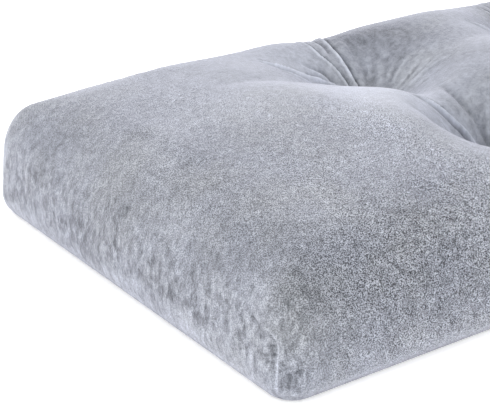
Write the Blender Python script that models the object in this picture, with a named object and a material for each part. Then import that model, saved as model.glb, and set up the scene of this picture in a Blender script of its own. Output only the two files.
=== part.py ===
"""Tufted velvet bench cushion, 36 by 14 by 4 inches, lying on its back.

One filled solid carries the whole form: boxed sides with a soft top edge, a crown drawn
down by two rows of three tufts, and a flat underside. A plain twine tie sits in every
tuft, above and below. The origin is at the middle of the underside; X runs along the
length, Y along the depth (the front is -Y), and Z is up. Everything is in metres.
"""

import math

import bmesh
import bpy
from mathutils import Vector

# Overall size
LENGTH = 0.914
DEPTH = 0.356
EDGE_HEIGHT = 0.084  # top of the boxed side, where the crown begins
CROWN_RISE = 0.022  # how far the filling lifts the top above that
CROWN_END_REACH = 0.062  # distance from an end over which the crown comes up
CROWN_POWER = 2.2  # how full the crown is across the depth: 2 is an arc, more is boxier

# Edges and sides
CORNER_RADIUS = 0.020  # upright corners, seen from above
TOP_ROLL_IN = 0.032  # soft top edge: how far it reaches in, and how far down
TOP_ROLL_DOWN = 0.031
BASE_ROLL_UP = 0.010  # edge at the base seam: how far it reaches up, and how far in, which
BASE_ROLL_IN = CORNER_RADIUS  # leaves the flat underside a plain rectangle
SIDE_BULGE = 0.003  # the sides swell by this at mid-height
CORNER_DRAW = 0.6  # share of that swelling lost at a corner
CORNER_REACH = 0.050  # and how far along the side the corner is felt

# Tufts
TUFT_COLUMNS = 3
END_MARGIN = 0.266  # from an end to the first column of tufts
ROW_OFFSET = 0.067  # each row's distance from the middle
SEAT_RADIUS = 0.005  # flat spot that the tie draws down
FUNNEL_DROP = 0.014  # steep part of a pit
FUNNEL_REACH = 0.0155
FRONT_DISH = (0.047, 0.040)  # wide part round it, drop and reach: the front row is drawn down harder
BACK_DISH = (0.040, 0.051)
SADDLE_DROP = 0.005  # dip between the two tufts of a column
SADDLE_REACHES = (0.030, 0.035)  # along the cushion, and across it
VALLEY_DROP = 0.003  # soft fold from each column out to the long edges, as deep as this at the edge
VALLEY_REACH = 0.070
VALLEY_SPREAD = 0.50  # how it widens outside the tufts

# Underside dimples, where the ties come through
DIMPLE_DROP = 0.007
DIMPLE_REACH = 0.016

# Ties: short bars of waxed twine
TIE_LENGTH = 0.0070
TIE_WIDTH = 0.0022
TIE_HEIGHT = 0.0016
TIE_GAP = 0.0003

# Mesh spacing
EDGE_LINES = (0.0024, 0.0094, BASE_ROLL_IN, TOP_ROLL_IN)  # lines along the rolled edges
WALL_STEPS = 4  # bands up a side
WIDEST_CELL = 0.027
TUFT_LINES = (0.004, 0.010, 0.019, 0.031, 0.047, 0.067)  # lines each side of a tuft

HALF_LENGTH = LENGTH / 2
HALF_DEPTH = DEPTH / 2
WALL_TOP = EDGE_HEIGHT - TOP_ROLL_DOWN


def tuft_columns():
    """X of each column of tufts."""
    first = -HALF_LENGTH + END_MARGIN
    step = -2 * first / (TUFT_COLUMNS - 1)
    return [first + step * i for i in range(TUFT_COLUMNS)]


def tufts():
    """(x, y) of every tuft."""
    return [(x, y) for x in tuft_columns() for y in (-ROW_OFFSET, ROW_OFFSET)]


def rise_from(distance, reach):
    """0 at an edge, coming up to 1 over the reach."""
    return 1 - math.exp(-max(distance, 0) / reach)


def bell(distance, reach):
    """1 in the middle, dying away smoothly on both sides."""
    return math.exp(-((distance / reach) ** 2))


def rounded_plan(x, y):
    """The point of the box's plan moved so that the upright corners are round."""
    core_x = max(-HALF_LENGTH + CORNER_RADIUS, min(HALF_LENGTH - CORNER_RADIUS, x))
    core_y = max(-HALF_DEPTH + CORNER_RADIUS, min(HALF_DEPTH - CORNER_RADIUS, y))
    dx, dy = x - core_x, y - core_y
    reach = math.hypot(dx, dy)
    if reach < 1e-6:
        return core_x, core_y
    scale = max(abs(dx), abs(dy)) / reach
    return core_x + dx * scale, core_y + dy * scale


def outward(x, y):
    """(inset from the outline, unit vector out of it) at a point of the rounded plan."""
    over_x = abs(x) - (HALF_LENGTH - CORNER_RADIUS)
    over_y = abs(y) - (HALF_DEPTH - CORNER_RADIUS)
    if over_x > 0 and over_y > 0:
        reach = math.hypot(over_x, over_y)
        normal = Vector((math.copysign(over_x, x), math.copysign(over_y, y), 0)) / reach
        return CORNER_RADIUS - reach, normal
    if over_x > over_y:
        return HALF_LENGTH - abs(x), Vector((math.copysign(1, x), 0, 0))
    return HALF_DEPTH - abs(y), Vector((0, math.copysign(1, y), 0))


def top_roll(inset):
    """Height of the soft top edge at an inset from the outline."""
    across = min(1, max(0, 1 - inset / TOP_ROLL_IN))
    return WALL_TOP + TOP_ROLL_DOWN * math.sqrt(1 - across**2)


def base_roll(inset):
    """Height of the base edge at an inset from the outline."""
    across = min(1, max(0, 1 - inset / BASE_ROLL_IN))
    return BASE_ROLL_UP * (1 - math.sqrt(1 - across**2))


def drop_at(x, y):
    """How far the tufts and the folds through their columns pull the top down."""
    drop = 0
    for tuft_x, tuft_y in tufts():
        away = max(0, math.hypot(x - tuft_x, y - tuft_y) - SEAT_RADIUS)
        dish_drop, dish_reach = FRONT_DISH if tuft_y < 0 else BACK_DISH
        drop += FUNNEL_DROP * math.exp(-away / FUNNEL_REACH) + dish_drop * bell(away, dish_reach)
    outside = max(0, abs(y) - ROW_OFFSET)
    valley = VALLEY_DROP * outside / (HALF_DEPTH - ROW_OFFSET)
    width = VALLEY_REACH + VALLEY_SPREAD * outside
    saddle_along, saddle_across = SADDLE_REACHES
    for column in tuft_columns():
        drop += valley * bell(x - column, width)
        drop += SADDLE_DROP * bell(x - column, saddle_along) * bell(y, saddle_across)
    return drop


def top_height(x, y):
    """Height of the cushion's top at a point of its plan."""
    lift = rise_from(HALF_LENGTH - abs(x), CROWN_END_REACH)
    lift *= 1 - min(1, abs(y) / HALF_DEPTH) ** CROWN_POWER
    return top_roll(outward(x, y)[0]) + CROWN_RISE * lift - drop_at(x, y)


def base_height(x, y):
    """Height of the underside: flat, with a dimple at every tie."""
    dimple = 0
    for tuft_x, tuft_y in tufts():
        away = max(0, math.hypot(x - tuft_x, y - tuft_y) - TIE_LENGTH / 2)
        dimple += DIMPLE_DROP * bell(away, DIMPLE_REACH)
    flat_below = 0.0002  # a dimple's far tail is cut off, so that the face round it is truly flat
    return round(base_roll(outward(x, y)[0]) + (dimple if dimple > flat_below else 0), 7)


def swelling(x, y, height):
    """How far the filling pushes the side out at this height, less near a corner."""
    along = max(HALF_LENGTH - abs(x), HALF_DEPTH - abs(y))
    corner = 1 - CORNER_DRAW * math.exp(-along / CORNER_REACH)
    return SIDE_BULGE * corner * math.sin(math.pi * min(1, height / EDGE_HEIGHT))


def cushion_point(raw):
    """The cushion's own point for a point of the plain box that spans its wall."""
    x, y = rounded_plan(round(raw.x, 6), round(raw.y, 6))
    inset, normal = outward(x, y)
    on_top = raw.z >= WALL_TOP - 1e-6
    on_base = raw.z <= BASE_ROLL_UP + 1e-6
    edge_height = top_roll(inset) if on_top else base_roll(inset) if on_base else raw.z
    height = top_height(x, y) if on_top else base_height(x, y) if on_base else raw.z
    share = max(0, 1 - inset / TOP_ROLL_IN)
    return Vector((x, y, height)) + normal * swelling(x, y, edge_height) * share


def mesh_lines(half, marks):
    """Grid lines across the plain box: dense round the edges and the tufts."""
    lines = {round(half - inset, 6) for inset in EDGE_LINES}
    lines |= {-line for line in lines}
    for mark in marks:
        lines |= {round(mark + side * step, 6) for side in (-1, 1) for step in (0, *TUFT_LINES)}
    lines = sorted(lines)
    filled = []
    for start, end in zip(lines, lines[1:]):
        pieces = math.ceil((end - start) / WIDEST_CELL)
        filled += [start + (end - start) * i / pieces for i in range(pieces)]
    return filled + [lines[-1]]


def material(name, colour, roughness):
    made = bpy.data.materials.new(name)
    made.use_nodes = True
    shader = made.node_tree.nodes["Principled BSDF"]
    shader.inputs["Base Color"].default_value = (*colour, 1)
    shader.inputs["Roughness"].default_value = roughness
    shader.inputs["Metallic"].default_value = 0
    return made


def add_object(name, mesh_builder, finish):
    """A new object of that name, from a bmesh."""
    mesh = bpy.data.meshes.new(name)
    bmesh.ops.recalc_face_normals(mesh_builder, faces=mesh_builder.faces)
    mesh_builder.to_mesh(mesh)
    mesh_builder.free()
    mesh.materials.append(finish)
    mesh.shade_smooth()
    made = bpy.data.objects.new(name, mesh)
    bpy.context.scene.collection.objects.link(made)
    return made


def build_cushion(finish):
    """The filled cushion: a plain box cut by the grid lines, then given its form."""
    box = bmesh.new()
    bmesh.ops.create_cube(box, size=1)
    for vert in box.verts:
        vert.co.x *= LENGTH
        vert.co.y *= DEPTH
        vert.co.z = WALL_TOP if vert.co.z > 0 else BASE_ROLL_UP
    rows = [-ROW_OFFSET, ROW_OFFSET]
    cuts = [(x, Vector((1, 0, 0))) for x in mesh_lines(HALF_LENGTH, tuft_columns())]
    cuts += [(y, Vector((0, 1, 0))) for y in mesh_lines(HALF_DEPTH, rows)]
    wall = WALL_TOP - BASE_ROLL_UP
    cuts += [(BASE_ROLL_UP + wall * i / WALL_STEPS, Vector((0, 0, 1))) for i in range(1, WALL_STEPS)]
    for place, normal in cuts:
        geometry = list(box.verts) + list(box.edges) + list(box.faces)
        bmesh.ops.bisect_plane(box, geom=geometry, plane_co=normal * place, plane_no=normal)
    for vert in box.verts:
        vert.co = cushion_point(vert.co)
    flat = [face for face in box.faces if all(vert.co.z == 0 for vert in face.verts)]
    edges = {edge for face in flat for edge in face.edges}
    bmesh.ops.dissolve_limit(box, angle_limit=math.radians(0.01), edges=list(edges), verts=[])
    return add_object("cushion", box, finish)


def build_tie(name, x, y, height, finish):
    """One twine tie: a short bar with rounded ends and top, lying along the depth."""
    bar = bmesh.new()
    bmesh.ops.create_cube(bar, size=1)
    for vert in bar.verts:
        vert.co = Vector((vert.co.x * TIE_WIDTH, vert.co.y * TIE_LENGTH, vert.co.z * TIE_HEIGHT))
    bmesh.ops.bevel(
        bar, geom=list(bar.edges), offset=TIE_HEIGHT * 0.35, segments=2, profile=0.5, affect="EDGES"
    )
    tie = add_object(name, bar, finish)
    tie.location = (x, y, height)
    return tie


def main():
    for old in list(bpy.data.objects):
        bpy.data.objects.remove(old)
    velvet = material("velvet", (0.40, 0.43, 0.48), 0.85)
    twine = material("twine", (0.34, 0.36, 0.41), 0.80)
    build_cushion(velvet)
    seated = TIE_GAP + TIE_HEIGHT / 2
    for number, (x, y) in enumerate(tufts(), start=1):
        under_tie = [y + TIE_LENGTH * share for share in (-0.5, 0, 0.5)]
        highest = max(top_height(x, place) for place in under_tie)
        lowest = min(base_height(x, place) for place in under_tie)
        build_tie(f"tuft_tie_{number}", x, y, highest + seated, twine)
        build_tie(f"base_tie_{number}", x, y, lowest - seated, twine)


main()
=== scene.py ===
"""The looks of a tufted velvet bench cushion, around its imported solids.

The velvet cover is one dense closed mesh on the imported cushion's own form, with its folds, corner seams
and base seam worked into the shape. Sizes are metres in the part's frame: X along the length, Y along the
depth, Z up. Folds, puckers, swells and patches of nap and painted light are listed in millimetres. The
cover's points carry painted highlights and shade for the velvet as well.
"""

import math
from collections import namedtuple

import bmesh
import bpy
import numpy as np
from mathutils import Euler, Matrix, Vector
from mathutils.geometry import delaunay_2d_cdt
from mathutils.kdtree import KDTree


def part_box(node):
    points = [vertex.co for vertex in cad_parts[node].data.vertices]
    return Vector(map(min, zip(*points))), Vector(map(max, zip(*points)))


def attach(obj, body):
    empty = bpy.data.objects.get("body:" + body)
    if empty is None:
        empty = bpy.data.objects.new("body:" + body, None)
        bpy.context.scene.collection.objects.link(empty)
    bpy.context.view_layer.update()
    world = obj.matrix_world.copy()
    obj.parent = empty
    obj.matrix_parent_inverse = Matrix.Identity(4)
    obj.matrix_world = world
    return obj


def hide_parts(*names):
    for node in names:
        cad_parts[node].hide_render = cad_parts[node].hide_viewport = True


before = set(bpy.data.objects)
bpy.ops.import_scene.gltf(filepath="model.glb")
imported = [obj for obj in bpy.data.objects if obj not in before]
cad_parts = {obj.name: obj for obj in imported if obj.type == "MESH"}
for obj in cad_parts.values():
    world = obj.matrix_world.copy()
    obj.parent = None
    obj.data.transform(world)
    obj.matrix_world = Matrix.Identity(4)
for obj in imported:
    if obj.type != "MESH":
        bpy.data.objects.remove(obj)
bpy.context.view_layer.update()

MM = 0.001

# ---- Form, as cut: the same driving sizes as the solid ---------------------------------------
SIDE_BULGE = 0.003
EDGE_HEIGHT = 0.084
CROWN_RISE = 0.022
CROWN_END_REACH = 0.062
CROWN_POWER = 2.2
CORNER_RADIUS = 0.020
TOP_ROLL_IN = 0.032
TOP_ROLL_DOWN = 0.031
BASE_ROLL = 0.007
BASE_ROLL_UP = 0.022
CORNER_DRAW = 0.6
CORNER_REACH = 0.050
SEAT_RADIUS = 0.005
FUNNEL_DROP = 0.014
FUNNEL_REACH = 0.0155
FRONT_DISH = (0.047, 0.040)  # drop and reach
BACK_DISH = (0.040, 0.051)
SADDLE_DROP = 0.005
SADDLE_REACHES = (0.030, 0.035)  # along and across
VALLEY_DROP = 0.003
VALLEY_REACH = 0.070
VALLEY_SPREAD = 0.50
DIMPLE_DROP = 0.007
DIMPLE_REACH = 0.016
DIMPLE_SEAT = 0.0035
WALL_TOP = EDGE_HEIGHT - TOP_ROLL_DOWN

CUSHION_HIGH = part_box("cushion")[1]
HALF_LENGTH = CUSHION_HIGH.x - SIDE_BULGE
HALF_DEPTH = CUSHION_HIGH.y - SIDE_BULGE

# ---- Form, as filled -------------------------------------------------------------------------
# The filling settles low in the walls: how far they go out there and, by half as much, in above it
BASE_SAG = 0.0034
SAG_OUT_HEIGHT = 0.012
SAG_OUT_REACH = 0.018
SAG_IN_HEIGHT = 0.066
SAG_IN_REACH = 0.020
# Soft swells of the top, each by its middle, rise and reaches along and across, in mm
Swell = namedtuple("Swell", "x y rise along across")
SWELLS = [
    Swell(-314, 150, 4.2, 92, 28),
    Swell(-256, -58, 4.5, 26, 34),
    Swell(256, -52, 3.5, 28, 34),
    Swell(300, 148, 2.0, 80, 28),
    Swell(-95, -150, 1.5, 60, 26),
    Swell(110, -146, 2.0, 50, 28),
    Swell(-218, 144, 4.8, 30, 26),
    Swell(-140, 138, 3.0, 30, 26),
    Swell(-72, 122, 5.7, 42, 24),
]

# ---- Folds, in mm ----------------------------------------------------------------------------
# Folds of the top, each a raised edge with a crease beside it: plan points of the edge, the height of the
# edge, the depth of the crease, their width, the crease's side (1 left of the way it runs, -1 right, 0 on
# the line itself, with no edge) and the strength of the painted sheen on the edge, with painted shade at
# half that strength in the crease.
Fold = namedtuple("Fold", "points height depth width side shine")
# From a back tuft, with y towards the nearer long edge.
BACK_FOLDS = [
    Fold(((-12, 1), (-45, 2), (-90, 3), (-150, 3)), 0.0, 5.0, 20.0, 0, 0.0),
    Fold(((5, 16), (6, 30), (7, 46), (8, 62), (12, 82), (14, 108)), 2.3, 2.8, 1.3, -1, 1.1),
    Fold(((-2, 16), (-2, 34), (-4, 45), (-8, 58), (-8, 72), (-8, 104)), 1.8, 2.4, 1.3, -1, 0.9),
    Fold(((-1, 56), (1, 64), (2, 72), (1, 92)), 0.9, 1.2, 1.9, -1, 0.5),
    Fold(((-10, 29), (-26, 34), (-38, 32), (-52, 31), (-63, 34), (-69, 38), (-76, 50)),
         3.0, 3.2, 1.9, -1, 1.15),
    Fold(((-12, 28), (-17, 37), (-22, 41), (-34, 47)), 1.4, 1.6, 1.8, -1, 0.7),
    Fold(((-36, 21), (-46, 23), (-56, 25), (-68, 29)), 1.2, 1.4, 1.9, -1, 0.7),
    Fold(((12, 16), (18, 30), (21, 42), (23, 54), (26, 74)), 0.0, 1.6, 2.6, 0, 0.3),
    Fold(((18, 12), (30, 27), (46, 39)), 0.25, 0.3, 2.8, 1, 0.12),
    Fold(((24, 5), (37, 12), (52, 15)), 0.25, 0.25, 1.7, 1, 0.16),
    Fold(((24, 0), (41, 1), (54, 6)), 0.25, 0.3, 1.9, -1, 0.12),
    Fold(((24, -4), (39, -10), (58, -12)), 0.25, 0.25, 1.6, 1, 0.16),
    Fold(((22, -8), (43, -14), (60, -27)), 0.3, 0.3, 2.4, -1, 0.12),
]
# From a front tuft, in the same way.
FRONT_FOLDS = [
    Fold(((4, 14), (6, 34), (8, 56), (8, 86)), 0.5, 1.2, 2.6, -1, 0.12),
    Fold(((-6, 14), (-9, 30), (-14, 50)), 0.4, 0.8, 2.8, 1, 0.10),
    Fold(((12, 8), (26, 20), (44, 34)), 0.5, 0.7, 2.4, -1, 0.2),
    Fold(((16, 0), (32, -2), (56, -2)), 0.6, 0.7, 2.0, 1, 0.25),
    Fold(((12, -8), (28, -18), (44, -34)), 0.5, 0.7, 2.4, -1, 0.2),
]
# Across the saddle between the two tufts of a column, from its middle.
SADDLE_FOLDS = [
    Fold(((4, -54), (2, -41), (-1, -34), (-6, -28), (-11, -21), (-18, -12), (-27, -4)),
         2.8, 3.0, 1.5, 1, 1.0),
    Fold(((-1, -27), (-7, -19), (-15, -9), (-26, 2)), 0.0, 1.3, 1.3, 0, 0.5),
    Fold(((13, -58), (12, -44), (12, -32), (10, -20), (11, -8), (14, 4), (20, 20)), 0.0, 2.6, 2.4, 0, 0.5),
    Fold(((-22, -38), (-34, -36), (-44, -33), (-54, -26)), 0.0, 1.2, 4.0, 0, 0.3),
]
# How each tuft takes its folds, column by column, front tuft first: mirrored or not along the length,
# turned by some degrees, and made longer or deeper.
TuftStyle = namedtuple("TuftStyle", "mirror turn length depth")
TUFT_STYLES = [
    TuftStyle(1, 4, 0.92, 0.9),
    TuftStyle(1, 0, 1.0, 1.0),
    TuftStyle(-1, -6, 0.80, 0.95),
    TuftStyle(1, 7, 0.86, 0.9),
    TuftStyle(-1, 3, 1.0, 1.0),
    TuftStyle(-1, -4, 0.94, 0.85),
]
# How each column's saddle takes its folds, in the same way.
SaddleStyle = namedtuple("SaddleStyle", "mirror depth")
SADDLE_STYLES = [SaddleStyle(1, 1.0), SaddleStyle(-1, 0.9), SaddleStyle(-1, 1.0)]

# ---- Mesh spacing ----------------------------------------------------------------------------
CLOTH_CELL = 0.0036  # away from folds and corners
ROLL_CELLS = 12
WALL_CELLS = 9
BASE_RINGS = 8
BASE_CELL = 0.014
DIMPLE_RINGS = (0.0035, 0.006, 0.009, 0.0125, 0.0165, 0.021, 0.026, 0.032, 0.039)
DIMPLE_NET = 0.042  # the even cells of the underside stop this far from a dimple's middle
# Where the cells are halved, and halved again: the reach round a fold's line, round a tuft and along from a
# corner, and the width under which a fold counts.
CellLevel = namedtuple("CellLevel", "fold tuft corner widest")
CELL_LEVELS = [CellLevel(0.0075, 0.042, 0.036, 0.0050), CellLevel(0.0042, 0.010, 0.016, 0.0025)]


def tie_centres(prefix):
    """The middle of every tie of that name, from the frame."""
    boxes = [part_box(f"{prefix}_{number}") for number in range(1, 7)]
    return [(low + high) / 2 for low, high in boxes]


TUFTS = [(centre.x, centre.y) for centre in tie_centres("tuft_tie")]
COLUMNS = sorted({round(x, 4) for x, y in TUFTS})
ROW_OFFSET = max(y for x, y in TUFTS)


# ---- Places on the cushion -------------------------------------------------------------------
def bell(distance, reach):
    return np.exp(-((distance / reach) ** 2))


def on_top(box_points):
    """Which points of the plain box belong to its top."""
    return box_points[:, 2] >= WALL_TOP - 1e-6


def on_base(box_points):
    return box_points[:, 2] <= BASE_ROLL_UP + 1e-6


def side_gaps(points):
    """How far points lie inside the cushion's ends, and inside its long edges."""
    return HALF_LENGTH - abs(points[:, 0]), HALF_DEPTH - abs(points[:, 1])


def from_nearest_tuft(points):
    return np.min([np.hypot(points[:, 0] - x, points[:, 1] - y) for x, y in TUFTS], axis=0)


# ---- The cushion's form ----------------------------------------------------------------------
def rounded_plan(x, y):
    """Points of the box's plan moved so that the upright corners are round."""
    core_x = np.clip(x, -HALF_LENGTH + CORNER_RADIUS, HALF_LENGTH - CORNER_RADIUS)
    core_y = np.clip(y, -HALF_DEPTH + CORNER_RADIUS, HALF_DEPTH - CORNER_RADIUS)
    dx, dy = x - core_x, y - core_y
    reach = np.hypot(dx, dy)
    scale = np.where(reach > 1e-9, np.maximum(abs(dx), abs(dy)) / np.maximum(reach, 1e-9), 1)
    return core_x + dx * scale, core_y + dy * scale


def outward(x, y):
    """Inset from the outline, and the outward direction, at points of the rounded plan."""
    over_x = abs(x) - (HALF_LENGTH - CORNER_RADIUS)
    over_y = abs(y) - (HALF_DEPTH - CORNER_RADIUS)
    corner = (over_x > 0) & (over_y > 0)
    reach = np.where(corner, np.hypot(over_x, over_y), 1)
    by_end = over_x > over_y
    inset = np.where(by_end, HALF_LENGTH - abs(x), HALF_DEPTH - abs(y))
    inset = np.where(corner, CORNER_RADIUS - reach, inset)
    normal_x = np.where(corner, over_x / reach, np.where(by_end, 1, 0)) * np.sign(x)
    normal_y = np.where(corner, over_y / reach, np.where(by_end, 0, 1)) * np.sign(y)
    return inset, normal_x, normal_y


def top_roll(inset):
    across = np.clip(1 - inset / TOP_ROLL_IN, 0, 1)
    return WALL_TOP + TOP_ROLL_DOWN * np.sqrt(1 - across**2)


def base_roll(inset):
    across = np.clip(1 - inset / BASE_ROLL, 0, 1)
    return BASE_ROLL_UP * (1 - np.sqrt(1 - across**2))


def drop_at(x, y):
    """How far the tufts, the saddles and the valleys draw the top down."""
    drop = np.zeros_like(x)
    for tuft_x, tuft_y in TUFTS:
        away = np.maximum(0, np.hypot(x - tuft_x, y - tuft_y) - SEAT_RADIUS)
        dish_drop, dish_reach = FRONT_DISH if tuft_y < 0 else BACK_DISH
        drop += FUNNEL_DROP * np.exp(-away / FUNNEL_REACH) + dish_drop * bell(away, dish_reach)
    outside = np.maximum(0, abs(y) - ROW_OFFSET)
    valley = VALLEY_DROP * outside / (HALF_DEPTH - ROW_OFFSET)
    width = VALLEY_REACH + VALLEY_SPREAD * outside
    saddle_along, saddle_across = SADDLE_REACHES
    for column in COLUMNS:
        drop += valley * bell(x - column, width)
        drop += SADDLE_DROP * bell(x - column, saddle_along) * bell(y, saddle_across)
    return drop


def fullness(x, y):
    """The rise of the top's soft swells."""
    rise = 0
    for swell in SWELLS:
        along = bell(x - swell.x * MM, swell.along * MM)
        rise = rise + swell.rise * MM * along * bell(y - swell.y * MM, swell.across * MM)
    return rise


def top_height(x, y):
    lift = 1 - np.exp(-np.maximum(HALF_LENGTH - abs(x), 0) / CROWN_END_REACH)
    lift = lift * (1 - np.minimum(1, abs(y) / HALF_DEPTH) ** CROWN_POWER)
    return top_roll(outward(x, y)[0]) + CROWN_RISE * lift - drop_at(x, y) + fullness(x, y)


def base_height(x, y):
    dimple = np.zeros_like(x)
    for tuft_x, tuft_y in TUFTS:
        away = np.maximum(0, np.hypot(x - tuft_x, y - tuft_y) - DIMPLE_SEAT)
        dimple += DIMPLE_DROP * bell(away, DIMPLE_REACH)
    return base_roll(outward(x, y)[0]) + np.where(dimple > 0.0002, dimple, 0)


def swelling(x, y, height):
    """How far the walls stand out at a height: swollen, less so at the corners, and sagged."""
    along = np.maximum(HALF_LENGTH - abs(x), HALF_DEPTH - abs(y))
    corner = 1 - CORNER_DRAW * np.exp(-along / CORNER_REACH)
    swell = SIDE_BULGE * corner * np.sin(math.pi * np.minimum(1, height / EDGE_HEIGHT))
    sag = bell(height - SAG_OUT_HEIGHT, SAG_OUT_REACH) - 0.5 * bell(height - SAG_IN_HEIGHT, SAG_IN_REACH)
    return swell + BASE_SAG * sag


def formed(box_points):
    """Points of the cushion's form for points of the plain box that spans its wall."""
    x, y = rounded_plan(box_points[:, 0], box_points[:, 1])
    wall = box_points[:, 2]
    inset, normal_x, normal_y = outward(x, y)
    top, base = on_top(box_points), on_base(box_points)
    edge = np.where(top, top_roll(inset), np.where(base, base_roll(inset), wall))
    height = np.where(top, top_height(x, y), np.where(base, base_height(x, y), wall))
    push = swelling(x, y, edge) * np.maximum(0, 1 - inset / TOP_ROLL_IN)
    return np.stack([x + normal_x * push, y + normal_y * push, height], axis=1)


# ---- Folds -----------------------------------------------------------------------------------
def smooth_curve(points, steps=28):
    """A smooth curve of the plan through a few points."""
    points = np.array(points, dtype=float)
    ends = np.vstack([2 * points[0] - points[1], points, 2 * points[-1] - points[-2]])
    curve = []
    for place in np.linspace(0, len(points) - 1 - 1e-9, steps):
        i = int(place)
        t = place - i
        a, b, c, d = ends[i : i + 4]
        bend = (2 * a - 5 * b + 4 * c - d) * t**2 + (3 * b - a - 3 * c + d) * t**3
        curve.append(0.5 * (2 * b + (c - a) * t + bend))
    return np.array(curve)


def placed_fold(fold, spin, size, place, depth):
    """A fold with its points made a smooth curve of the plan in metres, and its sizes in metres."""
    return Fold(
        points=smooth_curve(fold.points) @ spin.T * size * MM + place,
        height=fold.height * depth * MM,
        depth=fold.depth * depth * MM,
        width=fold.width * MM,
        side=fold.side * math.copysign(1, np.linalg.det(spin)),
        shine=fold.shine,
    )


def fold_lines():
    """Every fold of the top, in its place."""
    lines = []
    for (x, y), style in zip(TUFTS, TUFT_STYLES):
        turn = math.radians(style.turn)
        spin = np.array([[math.cos(turn), -math.sin(turn)], [math.sin(turn), math.cos(turn)]])
        spin = np.diag([style.mirror, math.copysign(1, y)]) @ spin
        for fold in BACK_FOLDS if y > 0 else FRONT_FOLDS:
            lines.append(placed_fold(fold, spin, style.length, (x, y), style.depth))
    for column, style in zip(COLUMNS, SADDLE_STYLES):
        for fold in SADDLE_FOLDS:
            lines.append(placed_fold(fold, np.diag([style.mirror, 1.0]), 1, (column, 0), style.depth))
    return lines


FOLD_LINES = fold_lines()


def beside_curve(points, curve):
    """How far points lie aside of a curve, positive on its left, and how far along it, from 0 to 1."""
    nearest = np.full(len(points), np.inf)
    aside, along = np.zeros(len(points)), np.zeros(len(points))
    for i, (start, end) in enumerate(zip(curve, curve[1:])):
        step = end - start
        reach = np.clip(((points - start) @ step) / np.hypot(*step) ** 2, 0, 1)
        gap = points - start - reach[:, None] * step
        distance = np.hypot(gap[:, 0], gap[:, 1])
        side = np.sign(step[0] * gap[:, 1] - step[1] * gap[:, 0])
        closer = distance < nearest
        nearest = np.where(closer, distance, nearest)
        aside = np.where(closer, distance * side, aside)
        along = np.where(closer, (i + reach) / (len(curve) - 1), along)
    return aside, along


# A fold's cross-section, in widths of the fold
EDGE_WIDE = 0.7
PAINTED_SHEEN_WIDE = 0.95
CREASE_WIDE = 0.9
CREASE_ASIDE = 1.5
FOLD_PAD = 4.5  # nothing of a fold shows further out
# The shares of its length over which a fold starts and ends
FOLD_START = 0.2
FOLD_END = 0.25


def press_fold(plan, push, shine, fold):
    """Adds one fold to the push along the surface, and the painted sheen of its edge and painted shade of
    its crease.
    """
    width = fold.width
    low = fold.points.min(axis=0) - FOLD_PAD * width
    high = fold.points.max(axis=0) + FOLD_PAD * width
    near = np.nonzero(((plan > low) & (plan < high)).all(axis=1))[0]
    aside, along = beside_curve(plan[near], fold.points)
    fade = np.clip(0.2 + along / FOLD_START, 0, 1) * np.clip((1 - along) / FOLD_END, 0, 1)
    off_crease = (aside - fold.side * CREASE_ASIDE * width) / (CREASE_WIDE * width)
    crease = np.exp(-(abs(off_crease) ** 1.5))
    raised = fold.height > 0
    push[near] += fade * (fold.height * bell(aside, EDGE_WIDE * width) * raised - fold.depth * crease)
    # painted sheen along the edge, and painted shade in the crease
    shine[near] += fade * fold.shine * (bell(aside, PAINTED_SHEEN_WIDE * width) * raised - 0.5 * crease)


PLEAT_REACH = 0.013
PLEAT_DEPTH = 0.6 * MM


def pit_pleats(plan, push):
    """Small uneven pleats gathered round every tuft."""
    for number, (x, y) in enumerate(TUFTS):
        dx, dy = plan[:, 0] - x, plan[:, 1] - y
        away = np.hypot(dx, dy)
        near = away < 0.05
        angle = np.arctan2(dy[near], dx[near])
        reach = away[near] / PLEAT_REACH
        wave = np.sin(9 * angle + 1.7 * number) + 0.6 * np.sin(14 * angle + 2.9 * number + 1)
        push[near] += PLEAT_DEPTH * wave * reach**2 * np.exp(1 - reach**2)


def soft_waves(places, height, shortest, longest, seed, count=14):
    """Gentle unevenness: waves of several lengths and directions, the same each run."""
    chance = np.random.default_rng(seed)
    total = np.zeros(len(places))
    for _ in range(count):
        length = chance.uniform(shortest, longest)
        turn = chance.uniform(0, math.pi)
        start = chance.uniform(0, 2 * math.pi)
        across = places[:, 0] * math.cos(turn) + places[:, 1] * math.sin(turn)
        total += np.sin(2 * math.pi * across / length + start)
    return height * total / math.sqrt(count / 2)


def side_buckles(box_points, placed):
    """Shallow buckles of the sides, which die out at the base and at the rolled top edge."""
    height = placed[:, 2]
    round_edge = (placed[:, 0] + placed[:, 1]) * 0.7
    buckles = soft_waves(np.stack([round_edge, height * 0.7], 1), 0.3 * MM, 0.014, 0.045, seed=8)
    shown = np.clip(height / 0.03, 0, 1) * np.clip((EDGE_HEIGHT - height) / 0.03, 0, 1)
    return buckles * shown * (np.minimum(*side_gaps(box_points)) < 0.02)


# ---- Corner and base seams -------------------------------------------------------------------
SEAM_DEPTH = 0.9 * MM
SEAM_WIDTH = 1.0 * MM
SEAM_TOP = 0.056  # the upright seams fade out by this height
SEAM_SHIFT = 0.0086  # how far round from the corner a seam stands
SEAM_CURL = 0.0136  # and how much further round its top turns
CURL_FROM = 0.030  # the height from which it turns
LIP_OUT = 3.5 * MM  # the cloth stands up most this far beside the seam
LIP_WIDTH = 2.2 * MM
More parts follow.
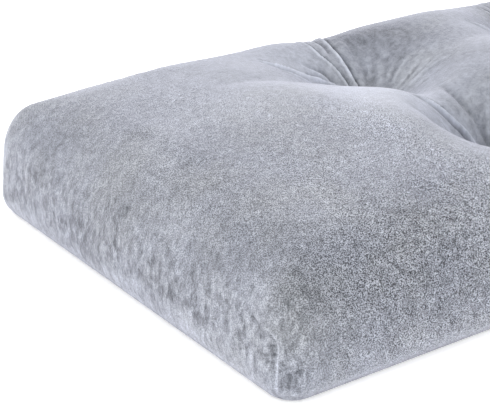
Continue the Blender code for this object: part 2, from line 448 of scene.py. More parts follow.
# Puckers beside an upright seam: side of it, height, length, depth and thickness in mm, rise along it
Pucker = namedtuple("Pucker", "side height length depth thick rise")
PUCKERS = [
    Pucker(-1, 24, 8, 0.5, 1.2, -0.2),
    Pucker(-1, 29, 10, 0.7, 1.2, -0.25),
    Pucker(-1, 34, 15, 1.1, 1.2, -0.3),
    Pucker(-1, 39, 18, 0.9, 1.1, -0.3),
    Pucker(-1, 44, 18, 0.9, 1.1, -0.3),
    Pucker(-1, 49.5, 16, 0.9, 1.1, -0.3),
    Pucker(1, 10, 18, 0.5, 0.9, 0.3),
    Pucker(1, 14, 24, 0.8, 0.9, 0.3),
    Pucker(1, 18.5, 28, 0.9, 0.9, 0.3),
    Pucker(1, 23, 24, 0.7, 0.9, 0.3),
    Pucker(1, 28, 16, 0.4, 0.9, 0.3),
]
# How each corner takes them, by the signs of its x and y: mirrored or not, raised by some mm, made deeper
CornerStyle = namedtuple("CornerStyle", "mirror lift depth")
CORNER_STYLES = {
    (-1, -1): CornerStyle(1, 0.0, 1.0),
    (1, -1): CornerStyle(-1, 2.0, 0.9),
    (-1, 1): CornerStyle(-1, -1.5, 1.0),
    (1, 1): CornerStyle(1, 1.0, 0.8),
}
BASE_SEAM_HEIGHT = 4.5 * MM
BASE_SEAM_WIDTH = 1.1 * MM
BASE_SEAM_DEPTH = 0.8 * MM


def beside_corner_seam(box_points, height):
    """How far round the corner points lie from its upright seam; infinite away from the corners."""
    to_end, to_edge = side_gaps(box_points)
    curl = SEAM_CURL * np.clip((height - CURL_FROM) / 0.018, 0, 1.15) ** 4
    turned = np.sign(box_points[:, 0] * box_points[:, 1]) * (SEAM_SHIFT + curl)
    return np.where(np.minimum(to_end, to_edge) > 0.012, np.inf, to_end - to_edge + turned)


def pucker_dents(aside, height, signs):
    """How deep the puckers beside the upright seams dent the cloth, in mm."""
    dents = np.zeros(len(aside))
    for corner, style in CORNER_STYLES.items():
        here = (signs == corner).all(axis=1)
        for pucker in PUCKERS:
            out = aside[here] * pucker.side * style.mirror
            level = (pucker.height + style.lift) * MM + out * pucker.rise
            ends = np.clip(out / 0.0025, 0, 1) * np.clip(1.5 - 1.5 * out / (pucker.length * MM), 0, 1)
            across = bell(height[here] - level, pucker.thick * MM)
            dents[here] += style.depth * pucker.depth * ends * across * (out > 0)
    return dents


def press_corner_seams(box_points, placed, push, shine):
    """An upright seam at every corner, drawn in, with the cloth puckered beside it, a painted highlight
    along the seam and painted shade in the puckers.
    """
    height = placed[:, 2]
    aside = beside_corner_seam(box_points, height)
    near = (abs(aside) < 0.05) & (height < 0.085)
    aside, height = aside[near], height[near]
    fade = np.clip((SEAM_TOP - height) / 0.012, 0, 1) * np.clip(height / 0.006, 0, 1)
    line = bell(aside, SEAM_WIDTH)
    lips = bell(abs(aside) - LIP_OUT, LIP_WIDTH)
    stitched_highlight = 0.65 + 0.30 * np.sin(height / 0.0009) * np.sin(height / 0.0023)
    dents = pucker_dents(aside, height, np.sign(box_points[near][:, :2]))
    push[near] += SEAM_DEPTH * fade * (0.5 * lips - line) - dents * MM
    # painted highlight along the seam, uneven by its stitches, and painted shade in the puckers
    shine[near] += stitched_highlight * fade * line - 0.36 * dents


def press_base_seam(box_points, placed, push):
    """The seam that joins the sides to the underside, low on the base edge."""
    across = bell(placed[:, 2] - BASE_SEAM_HEIGHT, BASE_SEAM_WIDTH)
    push -= BASE_SEAM_DEPTH * across * (np.minimum(*side_gaps(box_points)) < BASE_ROLL)


# ---- The plain box and its cells -------------------------------------------------------------
def grid_lines(half, cell):
    """Lines across the plain box: even cells, with the rolled edges cut by equal turns."""
    turns = np.linspace(0, math.pi / 2, ROLL_CELLS + 1)
    roll = half - TOP_ROLL_IN * (1 - np.cos(turns))
    flat = half - TOP_ROLL_IN
    cells = max(1, round(2 * flat / cell))
    return np.unique(np.round(np.concatenate([-roll, np.linspace(-flat, flat, cells + 1), roll]), 7))


def plain_box(cell):
    """An open bmesh box with a gridded top and walls, before its form is given."""
    xs, ys = grid_lines(HALF_LENGTH, cell), grid_lines(HALF_DEPTH, cell)
    across, along = len(ys), len(xs)
    points = [(x, y, WALL_TOP) for x in xs for y in ys]
    faces = [
        (i * across + j, (i + 1) * across + j, (i + 1) * across + j + 1, i * across + j + 1)
        for i in range(along - 1)
        for j in range(across - 1)
    ]
    rim = [i * across for i in range(along)]
    rim += [(along - 1) * across + j for j in range(1, across)]
    rim += [i * across + across - 1 for i in range(along - 2, -1, -1)]
    rim += [j for j in range(across - 2, 0, -1)]
    ring, count = rim, len(rim)
    for level in range(1, WALL_CELLS + 1):
        height = WALL_TOP + (BASE_ROLL_UP - WALL_TOP) * level / WALL_CELLS
        below = list(range(len(points), len(points) + count))
        points += [(points[index][0], points[index][1], height) for index in rim]
        faces += [(ring[k], below[k], below[(k + 1) % count], ring[(k + 1) % count]) for k in range(count)]
        ring = below
    mesh = bpy.data.meshes.new("plain_box")
    mesh.from_pydata(points, [], faces)
    box = bmesh.new()
    box.from_mesh(mesh)
    bpy.data.meshes.remove(mesh)
    return box


def halve_cells(box, wanted):
    """Cuts each face whose middle is wanted into four."""
    box.faces.ensure_lookup_table()
    centres = np.array([face.calc_center_median() for face in box.faces])
    picked = np.nonzero(wanted(centres))[0]
    edges = {edge for index in picked for edge in box.faces[index].edges}
    bmesh.ops.subdivide_edges(box, edges=list(edges), cuts=1, use_grid_fill=True)


def tree_of(points):
    """A search tree of points in space."""
    tree = KDTree(len(points))
    for index, point in enumerate(points):
        tree.insert(point, index)
    tree.balance()
    return tree


def cells_near_folds(level):
    """A test for faces near a fold's line, a tuft or an upright seam."""
    marks = tree_of([(x, y, 0) for fold in FOLD_LINES if fold.width < level.widest for x, y in fold.points])

    def by_a_fold(x, y):
        return marks.find((x, y, 0))[2] < level.fold

    def wanted(centres):
        top = on_top(centres)
        fold = np.array([is_top and by_a_fold(x, y) for (x, y, _), is_top in zip(centres, top)])
        tuft = top & (from_nearest_tuft(centres) < level.tuft)
        to_end, to_edge = side_gaps(centres)
        corner = (np.maximum(to_end, to_edge) < level.corner) & (np.minimum(to_end, to_edge) < 0.006)
        return fold | tuft | corner

    return wanted


def open_rim(box):
    """The open edge's vertices, in order round it."""
    edge = next(edge for edge in box.edges if edge.is_boundary)
    start = here = edge.verts[0]
    rim = []
    while True:
        rim.append(here)
        here = edge.other_vert(here)
        if here == start:
            return rim
        edge = next(other for other in here.link_edges if other.is_boundary and other != edge)


def add_base_rings(box, ring):
    """Rings of cells drawn in from the open rim along the base edge's roll; gives the innermost one."""
    outline = [(vert.co.x, vert.co.y) for vert in ring]
    made = {}
    for level in range(1, BASE_RINGS + 1):
        inset = BASE_ROLL * (1 - math.cos(math.pi / 2 * level / BASE_RINGS))
        inner = []
        for x, y in outline:
            x = max(-HALF_LENGTH + inset, min(HALF_LENGTH - inset, x))
            y = max(-HALF_DEPTH + inset, min(HALF_DEPTH - inset, y))
            key = (level, round(x, 6), round(y, 6))
            if key not in made:
                made[key] = box.verts.new((x, y, BASE_ROLL_UP))
            inner.append(made[key])
        for k in range(len(ring)):
            after = (k + 1) % len(ring)
            corners = list(dict.fromkeys([ring[k], inner[k], inner[after], ring[after]]))
            if len(corners) > 2:
                box.faces.new(corners)
        ring = inner
    return list(dict.fromkeys(ring))


def base_net():
    """Points of the underside: even cells, with rings round every dimple."""
    points = []
    reach_x, reach_y = HALF_LENGTH - BASE_ROLL, HALF_DEPTH - BASE_ROLL
    for x in np.linspace(-reach_x, reach_x, round(2 * reach_x / BASE_CELL) + 1)[1:-1]:
        for y in np.linspace(-reach_y, reach_y, round(2 * reach_y / BASE_CELL) + 1)[1:-1]:
            if min(math.hypot(x - tuft_x, y - tuft_y) for tuft_x, tuft_y in TUFTS) > DIMPLE_NET:
                points.append((x, y))
    for tuft_x, tuft_y in TUFTS:
        points.append((tuft_x, tuft_y))
        for reach in DIMPLE_RINGS:
            count = 12 if reach < 0.008 else 24
            for angle in np.linspace(0, 2 * math.pi, count, endpoint=False):
                points.append((tuft_x + reach * math.cos(angle), tuft_y + reach * math.sin(angle)))
    return points


def close_base(box):
    """Closes the underside: rings round the base edge, then a plain net of cells, finer at the dimples."""
    ring = add_base_rings(box, open_rim(box))
    points = [Vector((vert.co.x, vert.co.y)) for vert in ring] + [Vector(point) for point in base_net()]
    edges = [(k, (k + 1) % len(ring)) for k in range(len(ring))]
    places, _, faces, origins, _, _ = delaunay_2d_cdt(points, edges, [], 1, 1e-7)
    verts = []
    for place, sources in zip(places, origins):
        rims = [k for k in sources if k < len(ring)]
        verts.append(ring[rims[0]] if rims else box.verts.new((place.x, place.y, BASE_ROLL_UP)))
    for face in faces:
        box.faces.new([verts[k] for k in face])


def box_mesh():
    """The plain box as a closed mesh, with fine cells where folds and seams come."""
    box = plain_box(CLOTH_CELL)
    for level in CELL_LEVELS:
        halve_cells(box, cells_near_folds(level))
    close_base(box)
    bmesh.ops.recalc_face_normals(box, faces=box.faces)
    mesh = bpy.data.meshes.new("velvet_cover")
    box.to_mesh(mesh)
    box.free()
    return mesh


# ---- Points of a mesh ------------------------------------------------------------------------
def points_of(mesh):
    points = np.zeros(len(mesh.vertices) * 3)
    mesh.vertices.foreach_get("co", points)
    return points.reshape(-1, 3)


def move_points(mesh, points):
    mesh.vertices.foreach_set("co", points.ravel())
    mesh.update()


def normals_of(mesh):
    normals = np.zeros(len(mesh.vertices) * 3)
    mesh.vertex_normals.foreach_get("vector", normals)
    return normals.reshape(-1, 3)


# ---- The filling's pressure ------------------------------------------------------------------
VOXEL = 6 * MM
START_SMALLER = 1.5 * MM
BLOWN_CAP = 2 * MM
PRESSURE = 4
STIFFNESS = 8
CLOTH_FRAMES = 20
RESTING_BELOW = 4 * MM  # the underside, which stays where it rests
TUFT_HOLD = 14 * MM  # the cloth this near a tuft stays too


def evaluated_mesh(thing):
    """A plain mesh of an object as its modifiers leave it."""
    return bpy.data.meshes.new_from_object(thing.evaluated_get(bpy.context.evaluated_depsgraph_get()))


def voxel_copy(mesh):
    """An object with an even net of small cells over the same form."""
    copy = bpy.data.objects.new("filling_copy", mesh.copy())
    bpy.context.scene.collection.objects.link(copy)
    net = copy.modifiers.new("net", "REMESH")
    net.mode = "VOXEL"
    net.voxel_size = VOXEL
    even = evaluated_mesh(copy)
    copy.modifiers.remove(net)
    copy.data = even
    return copy


def fill_with_pressure(copy, held):
    """Cloth that the filling presses out, with no gravity and some points held."""
    group = copy.vertex_groups.new(name="held")
    group.add([int(index) for index in np.nonzero(held)[0]], 1.0, "REPLACE")
    cloth = copy.modifiers.new("filling", "CLOTH")
    cloth.settings.quality = 5
    cloth.settings.use_pressure = True
    cloth.settings.uniform_pressure_force = PRESSURE
    cloth.settings.effector_weights.gravity = 0
    cloth.settings.bending_stiffness = STIFFNESS
    cloth.settings.vertex_group_mass = "held"
    cloth.point_cache.frame_start = 1
    cloth.point_cache.frame_end = CLOTH_FRAMES


def simulated_points(copy):
    """The copy's points at the last frame of the cloth."""
    scene = bpy.context.scene
    for number in range(1, CLOTH_FRAMES + 1):
        scene.frame_set(number)
    points = points_of(evaluated_mesh(copy))
    scene.frame_set(1)
    return points


def blown_out(mesh):
    """How the filling's pressure shifts the cloth: Cloth on an even copy, as places and capped shifts."""
    copy = voxel_copy(mesh)
    full, normals = points_of(copy.data), normals_of(copy.data)
    resting = full[:, 2] < RESTING_BELOW
    held = resting | (from_nearest_tuft(full) < TUFT_HOLD)
    small = full - normals * START_SMALLER
    small[:, 2] = np.where(resting, full[:, 2], small[:, 2])
    move_points(copy.data, small)
    fill_with_pressure(copy, held)
    shifts = simulated_points(copy) - full
    bpy.data.objects.remove(copy)
    free = ~held
    shifts[free] -= normals[free] * (shifts * normals)[free].sum(axis=1).mean()  # the size stays as cut
    length = np.linalg.norm(shifts, axis=1, keepdims=True)
    return full, shifts * np.minimum(1, BLOWN_CAP / np.maximum(length, 1e-9))


def carried_over(points, places, shifts, neighbours=4):
    """The shifts of the even net, blended onto other points by nearness."""
    tree = tree_of(places)
    carried = np.zeros_like(points)
    for index, point in enumerate(points):
        found = tree.find_n(point, neighbours)
        weights = np.array([1 / (gap + MM) for _, _, gap in found])
        carried[index] = weights @ shifts[[number for _, number, _ in found]] / weights.sum()
    return carried


# ---- The velvet cover ------------------------------------------------------------------------
def cloth_map(mesh, box_points):
    """A map in metres of the cloth laid flat, with the sides turned out round the top."""
    layer = mesh.uv_layers.new(name="cloth")
    corners = np.zeros(len(mesh.loops), dtype=int)
    mesh.loops.foreach_get("vertex_index", corners)
    totals = np.zeros(len(mesh.polygons), dtype=int)
    mesh.polygons.foreach_get("loop_total", totals)
    points = box_points[corners]
    face_of = np.repeat(np.arange(len(totals)), totals)
    middle = np.stack([np.bincount(face_of, points[:, k]) / totals for k in range(3)], 1)[face_of]
    to_end, to_edge = side_gaps(middle)
    side = ~on_top(middle) & ~on_base(middle)
    fall = np.where(side, WALL_TOP - points[:, 2], 0)
    u = points[:, 0] + np.where(to_end < to_edge, np.sign(middle[:, 0]) * fall, 0)
    v = points[:, 1] + np.where(to_end < to_edge, 0, np.sign(middle[:, 1]) * fall)
    layer.data.foreach_set("uv", np.stack([u, v], 1).ravel())


def worked_top(plan):
    """The push of the top's folds, pleats and unevenness, and the painted sheen and shade of its folds."""
    push, shine = np.zeros(len(plan)), np.zeros(len(plan))
    for fold in FOLD_LINES:
        press_fold(plan, push, shine, fold)
    pit_pleats(plan, push)
    waves = soft_waves(plan, 0.5 * MM, 0.045, 0.130, seed=5)
    push += waves * np.clip(np.minimum(*side_gaps(plan)) / 0.06, 0, 1)
    return push, shine


def worked_cloth(box_points, placed):
    """How far each point of the cover goes out for its folds and seams, and the painted highlight and shade
    there.
    """
    push, shine = np.zeros(len(placed)), np.zeros(len(placed))
    top = on_top(box_points)
    push[top], shine[top] = worked_top(placed[top][:, :2])
    push += side_buckles(box_points, placed)
    press_corner_seams(box_points, placed, push, shine)
    press_base_seam(box_points, placed, push)
    return push, shine


def cover_mesh():
    """The cover's dense closed mesh, with its form, folds, seams and nap."""
    mesh = box_mesh()
    box_points = points_of(mesh)
    placed = formed(box_points)
    move_points(mesh, placed)
    placed = placed + carried_over(placed, *blown_out(mesh))
    move_points(mesh, placed)
    push, shine = worked_cloth(box_points, placed)
    shaped = placed + normals_of(mesh) * push[:, None]
    shaped[:, 2] = np.where(on_base(box_points), np.maximum(shaped[:, 2], 0), shaped[:, 2])
    move_points(mesh, shaped)
    cloth_map(mesh, box_points)
    nap_attributes(mesh, box_points, shaped, shine)
    mesh.shade_smooth()
    return mesh


# ---- The lie of the nap, and painted light and shade -----------------------------------------
# Patches that lie paler and darker, partly brushed nap and partly painted light and shade: middle and
# radius in mm, and how far
NapAndLightPatch = namedtuple("NapAndLightPatch", "x y z radius strength")
NAP_AND_LIGHT_PATCHES = [
    NapAndLightPatch(-457, -30, 50, 22, 0.16),
    NapAndLightPatch(-452, -60, 72, 16, 0.14),
    NapAndLightPatch(-455, -130, 12, 30, 0.12),
    NapAndLightPatch(-455, -150, 64, 16, 0.10),
    NapAndLightPatch(-450, -176, 34, 15, 0.30),
    NapAndLightPatch(-300, -170, 76, 24, 0.12),
    NapAndLightPatch(-447, -168, 72, 20, -0.10),
    NapAndLightPatch(-355, -181, 50, 60, -0.10),
    NapAndLightPatch(-456, 160, 40, 26, 0.16),
    NapAndLightPatch(-235, 108, 84, 30, 0.16),
    NapAndLightPatch(-214, 121, 82, 22, 0.36),
    NapAndLightPatch(-180, 114, 77, 20, 0.22),
    NapAndLightPatch(-141, 70, 82, 22, 0.16),
    NapAndLightPatch(-62, 104, 94, 24, -0.10),
    NapAndLightPatch(-341, 30, 104, 46, 0.10),
    NapAndLightPatch(-459, -150, 38, 20, 0.26),
    NapAndLightPatch(-454, 141, 64, 20, 0.04),
    NapAndLightPatch(-461, 26, 19, 20, -0.24),
    NapAndLightPatch(-459, -116, 47, 18, 0.24),
    NapAndLightPatch(-446, 96, 76, 22, -0.16),
    NapAndLightPatch(-436, -124, 84, 20, -0.08),
    NapAndLightPatch(-372, -122, 95, 36, 0.10),
    NapAndLightPatch(-330, -168, 56, 30, -0.08),
    NapAndLightPatch(-463, 73, 30, 16, 0.18),
    NapAndLightPatch(-460, 133, 38, 16, 0.08),
    NapAndLightPatch(-110, 108, 96, 20, 0.12),
    NapAndLightPatch(-457, 79, 56, 20, 0.18),
    NapAndLightPatch(-265, -84, 100, 22, -0.14),
]
CRUSHED = 0.42  # how crushed the nap is on the top
END_CRUSHED = 0.60  # and how much more on the ends
FRONT_SMOOTH = 0.084  # the grain is smoothed this far from a front tuft
BACK_SMOOTH = 0.130
TUFT_RIDGE_HIGHLIGHT = (0.090, 0.030)  # the ring round a tuft where the top turns over, painted highlight on one side and painted shade on the other: radius and width
STREAK_RING = (0.036, 0.014)  # and the ring where fine streaks run into the pit


def low_on_walls(shaped):
    """1 on the walls and 0 on the top, with a soft change over the rolled edge."""
    return np.clip((WALL_TOP + 0.02 - shaped[:, 2]) / 0.03, 0, 1)


def near_side(gap):
    """1 at a side of the cushion and 0 well inside it."""
    return np.clip(1 - gap / 0.03, 0, 1)


def crush_of_nap(box_points, shaped):
    """How crushed the nap is: most on the ends, and round the tufts."""
    to_end, to_edge = side_gaps(box_points)
    by_end = near_side(to_end) * low_on_walls(shaped)
    by_edge = near_side(to_edge) * low_on_walls(shaped)
    return CRUSHED + END_CRUSHED * by_end - 0.08 * by_edge + 0.20 * bell(from_nearest_tuft(shaped), 0.06)


def grain_of_nap(box_points, shaped):
    """How much the grain shows: more towards the front, and hardly round the tufts."""
    to_end, to_edge = side_gaps(box_points)
    forward = np.clip(0.5 - shaped[:, 1] / (2 * HALF_DEPTH), 0, 1)
    far_back = np.clip(shaped[:, 1] / 0.09, 0, 1) * np.clip((to_end - 0.10) / 0.08, 0, 1)
    corner = bell(np.maximum(to_end, to_edge), 0.05) * low_on_walls(shaped)
    grain = (0.50 + 0.24 * forward) * (1 - 0.35 * near_side(to_end)) * (1 - 0.7 * far_back)
    grain = grain * np.clip(0.7 + to_end / 0.4, 0, 1) * (1 - 0.4 * corner)
    for x, y in TUFTS:
        away = np.hypot(shaped[:, 0] - x, shaped[:, 1] - y) / (BACK_SMOOTH if y > 0 else FRONT_SMOOTH)
        grain = grain * (1 - 0.92 * np.exp(-(away**6)))
    return grain


def nap_and_painted_light_round_tuft(shaped, x, y):
    """Round a tuft: painted light in the pit, a painted highlight on one side of its ridge and painted
    shade on the other, and fine streaks of nap.
    """
    dx, dy = shaped[:, 0] - x, shaped[:, 1] - y
    away = np.hypot(dx, dy)
    angle = np.arctan2(dy, dx)
    along = dx / np.maximum(away, 1e-6)
    across = dy / np.maximum(away, 1e-6)
    # how far a point lies on the side of the ridge that takes the painted highlight; the other side takes
    # painted shade
    lit_side = 0.5 - 0.415 * along - math.copysign(0.275, y) * across
    ridge_light_and_shade = bell(away - TUFT_RIDGE_HIGHLIGHT[0], TUFT_RIDGE_HIGHLIGHT[1]) * (0.34 * lit_side - 0.22 * (1 - lit_side))
    streaks = np.sin(29 * angle + 40 * x) + 0.6 * np.sin(41 * angle + 90 * y)
    streaks = streaks * (0.55 + 0.45 * along) * bell(away - STREAK_RING[0], STREAK_RING[1])
    # the pit gets painted light against its shade
    return ridge_light_and_shade + 0.32 * bell(away, 0.050) + 0.13 * streaks


def nap_tone_and_painted_light(box_points, shaped, shine):
    """How pale the nap lies, with painted light and shade on folds, seams, the base's rim, the ends, round
    the tufts and in patches.
    """
    to_end, to_edge = side_gaps(box_points)
    height = shaped[:, 2]
    # painted sheen low on the walls near the sides; painted shade along the lowest few mm and on the end
    # walls
    rim = np.clip((0.036 - height) / 0.016, 0, 1) * np.clip(1.6 - np.minimum(to_end, to_edge) / 0.006, 0, 1)
    painted_base_shade = np.clip((0.006 - height) / 0.005, 0, 1)
    lightness_and_painted_light = shine + 0.10 * rim - 0.35 * painted_base_shade - 0.10 * low_on_walls(shaped) * near_side(to_end)
    for x, y in TUFTS:
        lightness_and_painted_light = lightness_and_painted_light + nap_and_painted_light_round_tuft(shaped, x, y) * (height > WALL_TOP)
    for patch in NAP_AND_LIGHT_PATCHES:
        middle = np.array([patch.x, patch.y, patch.z]) * MM
        lightness_and_painted_light = lightness_and_painted_light + patch.strength * bell(np.linalg.norm(shaped - middle, axis=1), patch.radius * MM)
    return lightness_and_painted_light


def nap_attributes(mesh, box_points, shaped, shine):
    """Gives each point of the cover the lie of its nap and its painted light and shade, for the velvet to
    read.
    """
    lie = {
        "crush": crush_of_nap(box_points, shaped),
        "grain": grain_of_nap(box_points, shaped),
        "lightness_and_painted_light": nap_tone_and_painted_light(box_points, shaped, shine),
    }
    for name, values in lie.items():
        layer = mesh.attributes.new(name, "FLOAT", "POINT")
        layer.data.foreach_set("value", values)


# ---- Materials -------------------------------------------------------------------------------
def new_finish(name, roughness):
    """A material of that roughness, with its node tree and its shader."""
    finish = bpy.data.materials.new(name)
    finish.use_nodes = True
    shader = finish.node_tree.nodes["Principled BSDF"]
    shader.inputs["Roughness"].default_value = roughness
    return finish, finish.node_tree, shader


def add_node(tree, kind, settings=None, inputs=None):
    """A node of that kind; an input is a value, or the output socket that feeds it."""
    node = tree.nodes.new(kind)
    for name, value in (settings or {}).items():
        setattr(node, name, value)
    for name, value in (inputs or {}).items():
        if isinstance(value, bpy.types.NodeSocket):
            tree.links.new(value, node.inputs[name])
        else:
            node.inputs[name].default_value = value
    return node


def object_place(tree):
    return add_node(tree, "ShaderNodeTexCoord").outputs["Object"]


def attribute(tree, name):
    return add_node(tree, "ShaderNodeAttribute", {"attribute_name": name}).outputs["Fac"]


def noise(tree, where, scale, detail=2.0, roughness=0.5, distortion=0.0):
    values = {"Scale": scale, "Detail": detail, "Roughness": roughness, "Distortion": distortion}
    return add_node(tree, "ShaderNodeTexNoise", inputs={"Vector": where, **values}).outputs["Fac"]


def spread(tree, value, low, high, to_low=0.0, to_high=1.0):
    """The value's range from low to high laid over another range."""
    inputs = {0: value, 1: low, 2: high, 3: to_low, 4: to_high}
    return add_node(tree, "ShaderNodeMapRange", {"clamp": True}, inputs).outputs[0]


def worked_out(tree, operation, first, second):
    return add_node(tree, "ShaderNodeMath", {"operation": operation}, {0: first, 1: second}).outputs[0]


def added(tree, first, second):
    return worked_out(tree, "ADD", first, second)


def times(tree, first, second):
    return worked_out(tree, "MULTIPLY", first, second)


def tinted(tree, colour, tint):
    """A colour times another."""
    node = add_node(tree, "ShaderNodeVectorMath", {"operation": "MULTIPLY"}, {0: colour, 1: tint})
    return node.outputs[0]


def mixed(tree, share, first, second, past_ends=False):
    """A mix of two colours; past_ends lets a share over 1 or under 0 go on past them."""
    settings = {"data_type": "RGBA", "clamp_factor": not past_ends}
    inputs = {0: share, 6: (*first, 1), 7: (*second, 1)}
    return add_node(tree, "ShaderNodeMix", settings, inputs).outputs[2]


NAP_DARK = (0.100, 0.107, 0.122)
NAP_LIGHT = (0.440, 0.461, 0.520)
NAP_LAY = 0.30  # how far from dark to light the nap lies before anything touches it
NAP_LIMITS = (-0.1, 1.7)  # a painted highlight on a fold's edge may go past the light one
COOL_TINT = (0.993, 0.998, 1.015)
WARM_TINT = (1.013, 1.007, 0.968)
WEAVE_TURN = 0.6  # radians from the length
RELIEF = 0.6 * MM
# How fine the patterns are, as the scales of their textures, from the broadest to the finest
WEAVE_PLACES = 16
WARMTH = 17
CLOUDS = 20
WEAVE = 160
PATCHES = 190
GRAIN = 800
FINE_GRAIN = 1350
FIBRES = 3000


def crushed_patches(tree, where):
    """Small patches of nap pressed this way and that, drawn out upright on the sides."""
    upright = add_node(tree, "ShaderNodeMapping", inputs={"Vector": where, "Scale": (1.1, 1, 0.6)})
    return spread(tree, noise(tree, upright.outputs[0], PATCHES, 5, 0.7, 0.3), 0.34, 0.66, -0.5, 0.5)


def lay_of_nap(tree, where, patches, crush):
    """How far from dark to light the nap lies, with its clouds, its crushed patches and its painted light
    and shade.
    """
    clouds = spread(tree, noise(tree, where, CLOUDS, 3, 0.5), 0.3, 0.7, -0.5, 0.5)
    uneven = added(tree, times(tree, clouds, 0.3), times(tree, patches, 0.9))
    lay = added(tree, added(tree, NAP_LAY, attribute(tree, "lightness_and_painted_light")), times(tree, uneven, crush))
    lowest, highest = NAP_LIMITS
    return worked_out(tree, "MINIMUM", worked_out(tree, "MAXIMUM", lay, lowest), highest)


def pile_grain(tree, where, grain):
    """The light and dark of single tufts of pile, as a factor on the colour."""
    fine = noise(tree, where, FINE_GRAIN, 1, 0.6)
    pile = added(tree, times(tree, grain, 0.15), times(tree, fine, 0.85))
    shown = times(tree, spread(tree, pile, 0.40, 0.60, -1.5, 1.7), attribute(tree, "grain"))
    return added(tree, 1.0, shown)


def faint_weave(tree, where):
    """The backing's weave, which shows through here and there."""
    cloth = add_node(tree, "ShaderNodeUVMap", {"uv_map": "cloth"}).outputs[0]
    turned = add_node(tree, "ShaderNodeMapping", inputs={"Vector": cloth, "Rotation": (0, 0, WEAVE_TURN)})
    threads = {"Vector": turned.outputs[0], "Scale": WEAVE}
    bands = add_node(tree, "ShaderNodeTexWave", {"wave_type": "BANDS"}, threads)
    shown = spread(tree, noise(tree, where, WEAVE_PLACES, 2), 0.5, 0.62, 0, 0.25)
    return times(tree, bands.outputs["Fac"], shown)


def velvet():
    """Plush velvet: crushed patches of nap that lies this way and that, a fine grain, a faint weave, and
    painted light and shade.
    """
    finish, tree, shader = new_finish("velvet", 0.85)
    where = object_place(tree)
    crush = attribute(tree, "crush")
    patches = crushed_patches(tree, where)
    grain = noise(tree, where, GRAIN, 2, 0.6, 1.2)
    nap = mixed(tree, lay_of_nap(tree, where, patches, crush), NAP_DARK, NAP_LIGHT, past_ends=True)
    warmth = spread(tree, noise(tree, where, WARMTH, 3, 0.6), 0.40, 0.68)
    nap = tinted(tree, nap, mixed(tree, warmth, COOL_TINT, WARM_TINT))
    shaded = {0: nap, "Scale": pile_grain(tree, where, grain)}
    nap = add_node(tree, "ShaderNodeVectorMath", {"operation": "SCALE"}, shaded).outputs[0]
    relief = added(tree, added(tree, grain, times(tree, patches, crush)), faint_weave(tree, where))
    bump = add_node(tree, "ShaderNodeBump", inputs={"Height": relief, "Strength": 0.6, "Distance": RELIEF})
    tree.links.new(nap, shader.inputs["Base Color"])
    tree.links.new(bump.outputs[0], shader.inputs["Normal"])
    shader.inputs["Sheen Weight"].default_value = 0.8
    shader.inputs["Sheen Roughness"].default_value = 0.5
    shader.inputs["Sheen Tint"].default_value = (0.86, 0.875, 1.0, 1)
    shader.inputs["Specular IOR Level"].default_value = 0.15
    return finish


def twine():
    finish, tree, shader = new_finish("twine", 0.8)
    fibres = noise(tree, object_place(tree), FIBRES, 3, 0.7)
    tree.links.new(mixed(tree, fibres, (0.20, 0.22, 0.27), (0.42, 0.45, 0.50)), shader.inputs["Base Color"])
    return finish


def pale_floor():
    """A white floor that also glows a little, so that it stays plain."""
    finish, _, shader = new_finish("pale_floor", 0.9)
    shader.inputs["Base Color"].default_value = (0.95, 0.95, 0.95, 1)
    shader.inputs["Emission Color"].default_value = (1, 1, 1, 1)
    shader.inputs["Emission Strength"].default_value = 0.42
    return finish


# ---- Scene -----------------------------------------------------------------------------------
CAMERA_PLACE = (-0.9343, -0.8080, 0.48265)
CAMERA_DOWN = 23.895  # degrees below level
CAMERA_TURN = 35.47  # degrees to the right of looking along the depth
LENS = 116.9  # mm, on a sensor 36 mm wide
FLOOR_HALF = 6
FLOOR_LEVEL = -0.5 * MM
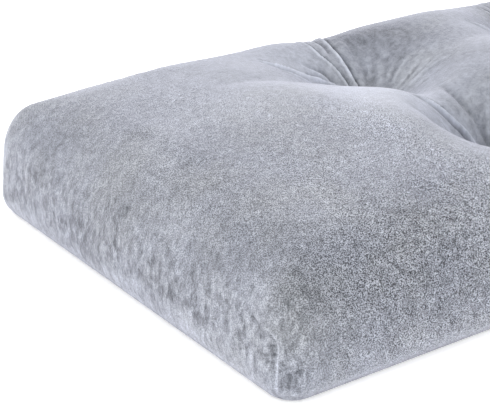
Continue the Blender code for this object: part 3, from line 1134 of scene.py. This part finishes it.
# Lamps: name, place, the point that they face, width and height, and power
Softbox = namedtuple("Softbox", "name place aim size watts")
SOFTBOXES = [
    Softbox("side", (-2.6, 0.6, 0.9), (0, 0, 0), (1.8, 1.2), 10),
    Softbox("back", (-0.4, 2.6, 1.0), (0, 0, 0), (2.6, 1.2), 14),
    Softbox("front", (0.2, -2.8, 0.9), (0, 0, 0.05), (2.6, 1.4), 9),
]


def add_camera():
    data = bpy.data.cameras.new("camera")
    data.sensor_width = 36
    data.lens = LENS
    camera = bpy.data.objects.new("camera", data)
    camera.location = CAMERA_PLACE
    camera.rotation_euler = Euler((math.radians(90 - CAMERA_DOWN), 0, math.radians(-CAMERA_TURN)))
    bpy.context.scene.collection.objects.link(camera)
    bpy.context.scene.camera = camera


def add_softbox(box):
    data = bpy.data.lights.new(box.name, "AREA")
    data.shape = "RECTANGLE"
    data.size, data.size_y = box.size
    data.energy = box.watts
    lamp = bpy.data.objects.new(box.name, data)
    lamp.location = box.place
    lamp.rotation_euler = (Vector(box.aim) - Vector(box.place)).to_track_quat("-Z", "Y").to_euler()
    bpy.context.scene.collection.objects.link(lamp)


def add_floor():
    mesh = bpy.data.meshes.new("floor")
    signs = [(-1, -1), (1, -1), (1, 1), (-1, 1)]
    mesh.from_pydata([(x * FLOOR_HALF, y * FLOOR_HALF, FLOOR_LEVEL) for x, y in signs], [], [(0, 1, 2, 3)])
    mesh.materials.append(pale_floor())
    floor = bpy.data.objects.new("floor", mesh)
    bpy.context.scene.collection.objects.link(floor)


def add_world():
    world = bpy.data.worlds.new("studio")
    world.use_nodes = True
    background = world.node_tree.nodes["Background"]
    background.inputs["Color"].default_value = (1, 1, 1, 1)
    background.inputs["Strength"].default_value = 1.15
    bpy.context.scene.world = world


def add_cover():
    mesh = cover_mesh()
    mesh.materials.append(velvet())
    cover = bpy.data.objects.new("velvet_cover", mesh)
    bpy.context.scene.collection.objects.link(cover)
    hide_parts("cushion")
    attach(cover, "root")


def finish_ties():
    thread = twine()
    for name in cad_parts:
        if "tie" in name:
            for slot in bpy.data.objects[name].material_slots:
                slot.material = thread


def main():
    bpy.context.scene.view_settings.view_transform = "Standard"
    add_camera()
    add_world()
    add_floor()
    for box in SOFTBOXES:
        add_softbox(box)
    add_cover()
    finish_ties()


main()
